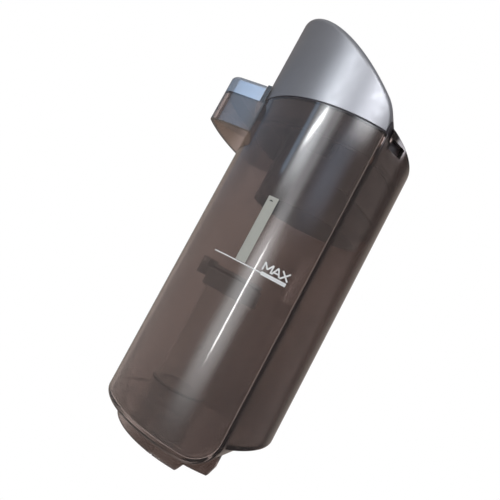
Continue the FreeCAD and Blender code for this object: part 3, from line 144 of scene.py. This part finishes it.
def bump(tree, shader, height, strength, distance):
    node = tree.nodes.new("ShaderNodeBump")
    set_inputs(node, {"Strength": strength, "Distance": distance})
    link(tree, height, node.inputs["Height"])
    link(tree, node.outputs["Normal"], shader.inputs["Normal"])


# ------------------------------------------------------------------- materials
def smoke_plastic(name, low, high):
    """Smoke-brown polycarbonate: slightly hazy inside, polished skin, faint smears."""
    material, tree, shader = new_material(name)
    point = object_point(tree)
    cloud = noise(tree, point, scale=26.0, detail=4.0, roughness=0.55, stretch=(1.0, 1.0, 0.35))
    smear = noise(tree, point, scale=60.0, detail=5.0, roughness=0.6, stretch=(1.0, 1.0, 0.25))
    ripple = noise(tree, point, scale=22.0, detail=2.0)
    colour_by(tree, shader, cloud, low, high)
    roughness_by(tree, shader, smear, low=0.03, high=0.08)
    set_inputs(shader, {
        "Transmission Weight": 0.93,
        "IOR": 1.5,
        "Coat Weight": 1.0,
        "Coat IOR": 1.6,
        "Coat Roughness": 0.06,
    })
    bump(tree, shader, ripple, strength=0.01, distance=0.0004)
    return material


def silver_plastic():
    """Satin silver paint with a fine flake."""
    material, tree, shader = new_material("silver_plastic")
    point = object_point(tree)
    cloud = noise(tree, point, scale=35.0)
    wear = noise(tree, point, scale=240.0, detail=4.0)
    flake = noise(tree, point, scale=6000.0, detail=2.0)
    colour_by(tree, shader, cloud, (0.50, 0.495, 0.52), (0.54, 0.535, 0.56))
    roughness_by(tree, shader, wear, low=0.36, high=0.44)
    set_inputs(shader, {"Metallic": 0.85, "Coat Weight": 0.25, "Coat Roughness": 0.2})
    bump(tree, shader, flake, strength=0.08, distance=0.0001)
    return material


def moulded(name, low, high, rough=(0.45, 0.6), grain=2600.0, strength=0.25, distance=0.00012,
            metallic=0.0):
    """Moulded plastic, rubber or smooth paint: slightly uneven colour, fine grain."""
    material, tree, shader = new_material(name)
    point = object_point(tree)
    colour_by(tree, shader, noise(tree, point, scale=60.0, detail=4.0), low, high)
    roughness_by(tree, shader, noise(tree, point, scale=300.0), *rough)
    shader.inputs["Metallic"].default_value = metallic
    bump(tree, shader, noise(tree, point, scale=grain), strength, distance)
    return material


def pin_steel():
    material, tree, shader = new_material("pin_steel")
    streak = noise(tree, object_point(tree), scale=900.0, roughness=0.6, stretch=(0.05, 1.0, 1.0))
    colour_by(tree, shader, streak, (0.52, 0.52, 0.53), (0.68, 0.68, 0.68))
    roughness_by(tree, shader, streak, low=0.22, high=0.4)
    shader.inputs["Metallic"].default_value = 1.0
    bump(tree, shader, streak, strength=0.1, distance=0.00005)
    return material


def foam():
    material, tree, shader = new_material("filter_foam")
    cells = tree.nodes.new("ShaderNodeTexVoronoi")
    cells.inputs["Scale"].default_value = 1100.0
    link(tree, object_point(tree), cells.inputs["Vector"])
    pores = cells.outputs["Distance"]
    colour_by(tree, shader, pores, (0.012, 0.012, 0.013), (0.11, 0.11, 0.115), (0.1, 0.6))
    shader.inputs["Roughness"].default_value = 0.95
    bump(tree, shader, pores, strength=0.9, distance=0.0006)
    return material


def paper():
    material, tree, shader = new_material("filter_paper")
    fibre = noise(tree, object_point(tree), scale=1400.0, detail=5.0, roughness=0.7,
                  stretch=(0.35, 1.0, 1.0))
    colour_by(tree, shader, fibre, (0.72, 0.70, 0.63), (0.86, 0.85, 0.79))
    shader.inputs["Roughness"].default_value = 0.9
    bump(tree, shader, fibre, strength=0.35, distance=0.0001)
    return material


def plain_ink(name, colour):
    """Printed ink, a little paler where it is worn."""
    material, tree, shader = new_material(name)
    worn = noise(tree, object_point(tree), scale=1500.0, roughness=0.6)
    colour_by(tree, shader, worn, colour, tuple(min(1.0, 1.06 * part) for part in colour))
    shader.inputs["Roughness"].default_value = 0.5
    bump(tree, shader, worn, strength=0.1, distance=0.00003)
    return material


MATERIALS = {
    "smoke_plastic": smoke_plastic("smoke_plastic", (0.342, 0.294, 0.280), (0.428, 0.373, 0.353)),
    "silver_plastic": silver_plastic(),
    "grey_gloss": moulded("grey_gloss", (0.50, 0.54, 0.61), (0.54, 0.58, 0.65), (0.10, 0.16),
                          grain=3000.0, strength=0.04, distance=0.00008, metallic=0.6),
    "grey_plastic": moulded("grey_plastic", (0.23, 0.23, 0.235), (0.27, 0.27, 0.275)),
    "black_plastic": moulded("black_plastic", (0.042, 0.037, 0.044), (0.060, 0.053, 0.062),
                             (0.3, 0.42)),
    "float_plastic": moulded("float_plastic", (0.62, 0.62, 0.60), (0.70, 0.70, 0.68), (0.35, 0.5)),
    "seal_rubber": moulded("seal_rubber", (0.022, 0.022, 0.023), (0.04, 0.04, 0.042), (0.6, 0.8),
                           grain=1800.0, strength=0.4),
    "pin_steel": pin_steel(),
    "filter_foam": foam(),
    "filter_paper": paper(),
}

for part in frame["record"]["subparts"]:
    node = NODES[part["node"]]
    node.data.materials.clear()
    node.data.materials.append(MATERIALS[part["material_slot"]])

# the pipe's wall is thinner than the tank's, so its tint is fainter
NODES["standpipe"].data.materials[0] = smoke_plastic("thin_smoke", (0.80, 0.77, 0.75),
                                                     (0.86, 0.83, 0.81))


# ---------------------------------------------------------------------- prints
# Places on the wall are (turn, level): degrees from +X towards +Y, and metres above the foot.
# A coat of ink is given by its inner and outer face, in metres outside the wall.
FIRST_COAT = (0.00001, 0.00005)
SECOND_COAT = (0.00005, 0.00008)
LONGEST_STEP = 0.0012

LINE_LEVEL = 0.1002
LINE_START, BAR_START, BAR_END = -19.3, 9.8, 23.2
LINE_WIDTH, BAR_WIDTH = 0.0006, 0.0018

WORD_TURN = 9.6
WORD_LOW, WORD_HIGH = 0.1018, 0.1058
LETTER_INK = 0.00078
# Each letter's width, the gap after it, and its strokes in a square of one by one
LETTERS = (
    (0.0042, 0.0006, (((0, 0), (0, 1)), ((0, 1), (0.5, 0.25)),
                      ((0.5, 0.25), (1, 1)), ((1, 1), (1, 0)))),
    (0.0039, 0.00036, (((0, 0), (0.5, 1)), ((0.5, 1), (1, 0)), ((0.22, 0.32), (0.78, 0.32)))),
    (0.0039, 0.0, (((0, 0), (1, 1)), ((0, 1), (1, 0)))),
)

STRIP_START, STRIP_END = -5.4, 0.4
STRIP_LEVEL, STRIP_HEIGHT = 0.1179, 0.0344
POINTER_TURN, POINTER_LEVEL = -3.0, 0.1334
POINTER_SPREAD, POINTER_DROP = 0.75, 0.0004
POINTER_INK = 0.00041
POINTER_ROWS = (0.25, 0.75, 1.25)


def on_wall(turn, level, out):
    """Point on the round lobe, out metres outside it."""
    angle = math.radians(turn)
    reach = RADIUS + out
    return Vector((reach * math.cos(angle), AXIS_Y + reach * math.sin(angle), level))


def degrees_of(length):
    """Turn that a length along the round wall covers."""
    return math.degrees(length / RADIUS)


def stroke(form, start, end, width, coat):
    """Thin closed ribbon on the wall from start to end."""
    run = Vector((math.radians(end[0] - start[0]) * RADIUS, end[1] - start[1]))
    side = Vector((-run.y, run.x)).normalized() * width / 2
    steps = max(1, math.ceil(run.length / LONGEST_STEP))
    inner, outer = coat
    rows = []
    for k in range(steps + 1):
        share = k / steps
        turn = start[0] + share * (end[0] - start[0])
        level = start[1] + share * (end[1] - start[1])
        rows.append([
            form.verts.new(on_wall(turn + degrees_of(sign * side.x), level + sign * side.y, out))
            for sign, out in ((1, outer), (-1, outer), (-1, inner), (1, inner))
        ])
    for near, far in zip(rows, rows[1:]):
        for k in range(4):
            form.faces.new((near[k], near[(k + 1) % 4], far[(k + 1) % 4], far[k]))
    form.faces.new(rows[0][::-1])
    form.faces.new(rows[-1])


def add_object(name, data):
    obj = bpy.data.objects.new(name, data)
    bpy.context.scene.collection.objects.link(obj)
    return obj


def add_mesh(name, form, material):
    """Object from a finished form, which is freed."""
    mesh = bpy.data.meshes.new(name)
    form.to_mesh(mesh)
    form.free()
    mesh.materials.append(material)
    return add_object(name, mesh)


def print_on_wall(name, strokes, material, coat=FIRST_COAT):
    form = bmesh.new()
    for start, end, width in strokes:
        stroke(form, start, end, width, coat)
    bmesh.ops.recalc_face_normals(form, faces=form.faces)
    obj = add_mesh(name, form, material)
    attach(obj, "tank")


def level_mark():
    """Line, bar and plain stroke letters of the fill level."""
    strokes = [
        ((LINE_START, LINE_LEVEL), (BAR_START, LINE_LEVEL), LINE_WIDTH),
        ((BAR_START, LINE_LEVEL), (BAR_END, LINE_LEVEL), BAR_WIDTH),
    ]
    left = WORD_TURN
    for width, gap, runs in LETTERS:
        for run in runs:
            start, end = ((left + x * degrees_of(width), WORD_LOW + y * (WORD_HIGH - WORD_LOW))
                          for x, y in run)
            strokes.append((start, end, LETTER_INK))
        left += degrees_of(width) + degrees_of(gap)
    print_on_wall("level_mark", strokes, plain_ink("white_ink", (0.80, 0.80, 0.79)))


def level_scale():
    """Pale strip above the line with a small pointer near its top."""
    strip = ((STRIP_START, STRIP_LEVEL), (STRIP_END, STRIP_LEVEL), STRIP_HEIGHT)
    print_on_wall("level_strip", [strip], plain_ink("pale_ink", (0.42, 0.415, 0.37)))
    rows = []
    for k in POINTER_ROWS:
        reach, level = POINTER_SPREAD * k, POINTER_LEVEL - POINTER_DROP * k
        rows.append(((POINTER_TURN - reach, level), (POINTER_TURN + reach, level), POINTER_INK))
    print_on_wall("level_pointer", rows, plain_ink("dark_ink", (0.03, 0.03, 0.03)),
                  SECOND_COAT)


level_mark()
level_scale()


# ---------------------------------------------------------------------- camera
CAMERA_PLACE = Vector((0.26446, 0.08584 + AXIS_Y, 0.09078))
CAMERA_RIGHT = Vector((-0.3820, 0.9241, -0.0130))
CAMERA_BACK = Vector((0.9221, 0.3801, -0.0729))
CAMERA_ROLL = 29.0


def aim(right, up, back, place):
    """Matrix from three axes and a place."""
    return Matrix((
        (right.x, up.x, back.x, place.x),
        (right.y, up.y, back.y, place.y),
        (right.z, up.z, back.z, place.z),
        (0, 0, 0, 1),
    ))


def place_camera():
    """Camera of the photo, which is rolled, so that the tank leans in the picture."""
    camera = add_object("camera", bpy.data.cameras.new("camera"))
    bpy.context.scene.camera = camera
    camera.data.sensor_width = 36.0
    camera.data.lens = 34.74
    camera.data.clip_start = 0.01
    back = CAMERA_BACK.normalized()
    up = back.cross(CAMERA_RIGHT.normalized()).normalized()
    right = up.cross(back)
    roll = math.radians(CAMERA_ROLL)
    camera.matrix_world = aim(math.cos(roll) * right + math.sin(roll) * up,
                              math.cos(roll) * up - math.sin(roll) * right, back, CAMERA_PLACE)


place_camera()


# ----------------------------------------------------------------------- lamps
# Name, azimuth from +X towards +Y in degrees, distance from the tank's axis, lower and upper
# edge and width in metres, power in watts, colour, share of the width and of the height that
# fades at each end, and lean in degrees. Each has a distance of its own, because lamps at the
# same distance hide each other from mirrored rays.
LAMPS = (
    ("key", 24.5, 0.90, 0.455, 1.05, 0.60, 7.6, (0.93, 0.96, 1.0), (0.49, 0.3), 0.0),
    ("side", -24.0, 0.91, 0.56, 1.05, 0.46, 1.65, (0.90, 0.95, 1.0), (0.49, 0.3), 0.0),
    ("sheen", -21.0, 0.92, 0.24, 0.74, 0.42, 2.7, (0.90, 0.96, 1.0), (0.49, 0.49), 0.0),
    ("fill", -9.0, 0.93, 0.06, 1.05, 0.37, 1.4, (0.93, 0.96, 1.0), (0.49, 0.15), 0.0),
    ("cool", 17.0, 0.94, 0.20, 0.66, 0.66, 0.52, (0.58, 0.74, 1.0), (0.49, 0.45), 0.0),
    ("sky", -33.4, 0.95, 0.36, 0.62, 0.132, 0.127, (0.50, 0.72, 1.0), (0.45, 0.1), 0.0),
    ("rear", 136.0, 0.90, 0.525, 0.80, 0.34, 0.50, (0.97, 0.93, 1.0), (0.3, 0.15), 0.0),
    ("streak", -23.0, 0.89, 0.38, 0.60, 0.090, 0.72, (0.95, 0.99, 1.0), (0.49, 0.45), -53.0),
    ("glow", -7.0, 0.36, -0.12, 0.24, 0.26, 0.56, (0.93, 0.98, 1.0), (0.49, 0.49), 0.0),
    ("strip", -6.2, 0.34, -0.01, 0.160, 0.013, 0.085, (0.97, 1.0, 1.0), (0.48, 0.3), 0.0),
)


def soft_edge(tree, across, soft):
    """1 in the middle of a 0-1 run, falling smoothly to 0 over the given share at each end."""
    middle = arithmetic(tree, "ABSOLUTE", arithmetic(tree, "SUBTRACT", across, 0.5))
    return map_range(tree, middle, 0.5, 0.5 - soft, curve="SMOOTHERSTEP")


def softbox(name, azimuth, distance, low, high, width, power, colour, soft, lean):
    """Upright lamp with soft edges that faces the tank's axis."""
    lamp = bpy.data.lights.new(name, "AREA")
    lamp.shape = "RECTANGLE"
    lamp.size = width
    lamp.size_y = high - low
    lamp.energy = power
    lamp.color = colour
    lamp.use_nodes = True
    tree = lamp.node_tree
    parts = tree.nodes.new("ShaderNodeSeparateXYZ")
    link(tree, tree.nodes.new("ShaderNodeNewGeometry").outputs["Parametric"],
         parts.inputs["Vector"])
    strength = arithmetic(tree, "MULTIPLY", soft_edge(tree, parts.outputs["X"], soft[0]),
                          soft_edge(tree, parts.outputs["Y"], soft[1]))
    link(tree, strength, tree.nodes["Emission"].inputs["Strength"])
    obj = add_object(name, lamp)
    obj.visible_camera = False
    turn = math.radians(azimuth)
    outward = Vector((math.cos(turn), math.sin(turn), 0))
    place = outward * distance + Vector((0, AXIS_Y, (low + high) / 2))
    tilt = Matrix.Rotation(math.radians(lean), 3, outward)
    upright = Vector((0, 0, 1))
    obj.matrix_world = aim(tilt @ upright.cross(outward), tilt @ upright, outward, place)


for lamp in LAMPS:
    softbox(*lamp)


# ----------------------------------------------------------------------- world
# A heading is an angle in plan, in degrees from -180 to 180, with its seam at +X. A height is
# the Z of a direction's unit vector.
# Seen through the smoke: a dark flag behind one side, and a card that dims the pale side
FLAG, FLAG_FOOT = (0.25, 0.15, 0.11), (0.11, 0.065, 0.05)
FLAG_LEAN = 0.35
CARD_CORE, CARD = (0.30, 0.28, 0.27), (0.60, 0.52, 0.45)
PALE = (1.0, 0.90, 0.86)
# Mirrored: the walls of the room from the dark side to the warm one, and above them the ceiling
DARK_WALL, WARM_WALL = (0.045, 0.04, 0.04), (0.21, 0.182, 0.163)
LOW_WALL, BLUE_WALL, GREY_WALL = (0.15, 0.142, 0.138), (0.13, 0.17, 0.23), (0.165, 0.16, 0.162)
CEILING = (0.26, 0.265, 0.28)
# All other light
AMBIENT = (0.24, 0.235, 0.24)
WHITE = (1.0, 1.0, 1.0)


def outside(tree, heading, centre, inner, outer):
    """0 within the inner angle of a heading and 1 beyond the outer one, all in degrees."""
    away = arithmetic(tree, "ABSOLUTE",
                      arithmetic(tree, "SUBTRACT", heading, math.radians(centre)))
    return map_range(tree, away, math.radians(inner), math.radians(outer), curve="SMOOTHSTEP")


def below(tree, height, start, stop):
    """1 under the start and 0 over the stop."""
    return map_range(tree, height, start, stop, 1.0, 0.0)


def seen_through(tree, heading, height):
    """Colour that the smoke wall shows of the room behind it."""
    leaning = arithmetic(tree, "ADD", heading, arithmetic(tree, "MULTIPLY", height, FLAG_LEAN))
    flag = blend(tree, below(tree, height, -0.25, 0.02), FLAG, FLAG_FOOT)
    off_core = arithmetic(tree, "MAXIMUM", outside(tree, heading, 30.5, 2.0, 3.0),
                          below(tree, height, 0.25, 0.285))
    card = blend(tree, off_core, CARD_CORE, CARD)
    off_card = arithmetic(tree, "MAXIMUM", outside(tree, heading, 46.0, 14.0, 17.0),
                          below(tree, height, 0.16, 0.23))
    pale = blend(tree, off_card, card, PALE)
    return blend(tree, outside(tree, leaning, -4.0, 20.0, 33.0), flag, pale)


def mirrored(tree, heading, height):
    """Colour that glossy faces show of the room around them."""
    upper = blend(tree, map_range(tree, height, 0.33, 0.43), BLUE_WALL, GREY_WALL)
    room = blend(tree, map_range(tree, height, 0.1, 0.28), LOW_WALL, upper)
    bright = blend(tree, outside(tree, heading, 20.0, 36.0, 48.0), WARM_WALL, room)
    walls = blend(tree, outside(tree, heading, -90.0, 65.0, 90.0), DARK_WALL, bright)
    return blend(tree, map_range(tree, height, 0.5, 0.8), walls, CEILING)


def background(tree, colour):
    """Background light in one colour, a triple or a socket."""
    node = tree.nodes.new("ShaderNodeBackground")
    colour_input(tree, node.inputs["Color"], colour)
    return node.outputs["Background"]


def studio():
    """World that is white to the camera and a plain room with cards to all other light."""
    world = bpy.data.worlds.new("studio")
    bpy.context.scene.world = world
    world.use_nodes = True
    tree = world.node_tree
    tree.nodes.clear()
    direction = tree.nodes.new("ShaderNodeSeparateXYZ")
    link(tree, tree.nodes.new("ShaderNodeTexCoord").outputs["Generated"],
         direction.inputs["Vector"])
    heading = arithmetic(tree, "ARCTAN2",
                         arithmetic(tree, "MULTIPLY", direction.outputs["Y"], -1.0),
                         arithmetic(tree, "MULTIPLY", direction.outputs["X"], -1.0))
    height = direction.outputs["Z"]
    paths = tree.nodes.new("ShaderNodeLightPath")
    result = background(tree, AMBIENT)
    for kind, colour in (
        ("Is Glossy Ray", mirrored(tree, heading, height)),
        ("Is Transmission Ray", seen_through(tree, heading, height)),
        ("Is Camera Ray", WHITE),
    ):
        result = choose(tree, paths.outputs[kind], result, background(tree, colour))
    link(tree, result, tree.nodes.new("ShaderNodeOutputWorld").inputs["Surface"])


studio()
bpy.context.scene.view_settings.view_transform = "Standard"


# ----------------------------------------------------------------------- floor
FLOOR_RADIUS = 4.0
FLOOR_SEGMENTS = 96
FLOOR_DROP = 0.0002


def floor():
    """Plain floor: white to the camera, pale to diffuse light and clear to all other rays."""
    material, tree, shader = new_material("floor")
    set_inputs(shader, {"Base Color": (0.86, 0.86, 0.86, 1), "Roughness": 0.9})
    paths = tree.nodes.new("ShaderNodeLightPath")
    clear = tree.nodes.new("ShaderNodeBsdfTransparent").outputs["BSDF"]
    white = tree.nodes.new("ShaderNodeEmission").outputs["Emission"]
    result = choose(tree, paths.outputs["Is Diffuse Ray"], clear, shader.outputs["BSDF"])
    result = choose(tree, paths.outputs["Is Camera Ray"], result, white)
    link(tree, result, tree.nodes["Material Output"].inputs["Surface"])
    form = bmesh.new()
    bmesh.ops.create_circle(form, cap_ends=True, radius=FLOOR_RADIUS, segments=FLOOR_SEGMENTS)
    obj = add_mesh("floor", form, material)
    obj.location = (0, 0, -FLOOR_DROP)


floor()
